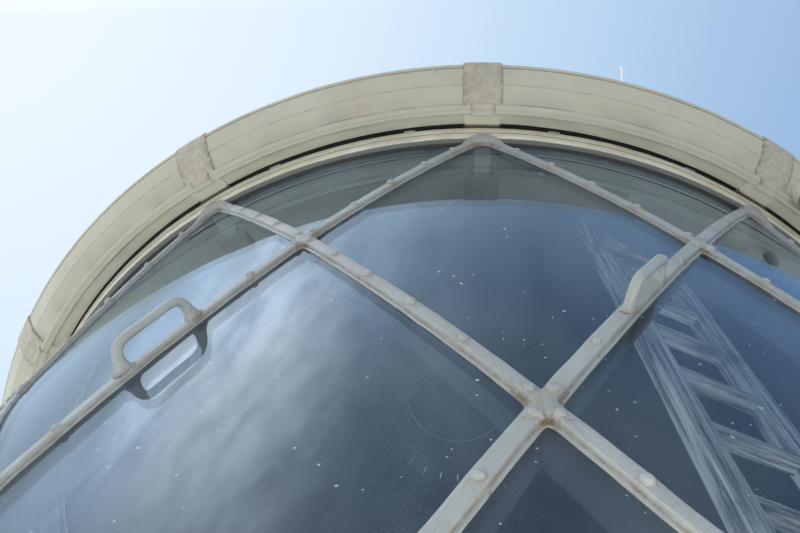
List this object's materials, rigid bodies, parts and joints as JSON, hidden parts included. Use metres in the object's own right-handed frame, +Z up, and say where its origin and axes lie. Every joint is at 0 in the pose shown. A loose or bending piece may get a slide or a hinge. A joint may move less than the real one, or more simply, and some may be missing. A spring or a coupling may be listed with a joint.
{
  "type": "lighthouse lantern",
  "caption": "Round glazed lantern of a lighthouse: crossing helical bars hold curved diamond panes between a curb ring and a gutter cornice, under a ribbed roof.",
  "frame": {"origin": "on the vertical axis, at the underside of the curb ring", "axes": "+Z up along the axis, -Y towards the front, where two bars meet under the head ring, +X to the right seen from the front"},
  "size_m": [4.134, 4.134, 5.0934],
  "materials": {
    "bar_paint": "thick chalky off-white brush paint",
    "ring_paint": "thick cream paint, weathered",
    "cornice_paint": "warm grey-beige paint with streaks",
    "roof_paint": "weathered grey-white paint",
    "glazing": "clear, dusty",
    "ladder_wood": "bare, grey, weathered",
    "bracket_iron": "dark, worn"
  },
  "bodies": {
    "root": {"left_bar_01": "bar_paint", "left_bar_02": "bar_paint", "left_bar_03": "bar_paint", "left_bar_04": "bar_paint", "left_bar_05": "bar_paint", "left_bar_06": "bar_paint", "left_bar_07": "bar_paint", "left_bar_08": "bar_paint", "left_bar_09": "bar_paint", "left_bar_10": "bar_paint", "left_bar_11": "bar_paint", "left_bar_12": "bar_paint", "right_bar_01": "bar_paint", "right_bar_02": "bar_paint", "right_bar_03": "bar_paint", "right_bar_04": "bar_paint", "right_bar_05": "bar_paint", "right_bar_06": "bar_paint", "right_bar_07": "bar_paint", "right_bar_08": "bar_paint", "right_bar_09": "bar_paint", "right_bar_10": "bar_paint", "right_bar_11": "bar_paint", "right_bar_12": "bar_paint", "crossing_covers": "bar_paint", "upper_hand_holds": "bar_paint", "middle_hand_holds": "bar_paint", "lower_hand_holds": "bar_paint", "top_panes": "glazing", "upper_panes": "glazing", "middle_panes": "glazing", "lower_panes": "glazing", "bottom_panes": "glazing", "curb_ring": "ring_paint", "head_ring": "ring_paint", "eaves_ring": "ring_paint", "gap_spacers": "ring_paint", "cornice_gutter": "cornice_paint", "joint_straps": "cornice_paint", "gutter_outlet": "cornice_paint", "roof_panels": "roof_paint", "roof_ribs": "roof_paint", "roof_neck": "roof_paint", "vent_ball": "roof_paint", "ladder_stiles": "ladder_wood", "ladder_treads": "ladder_wood", "ladder_brackets": "bracket_iron"}
  },
  "joints": []
}
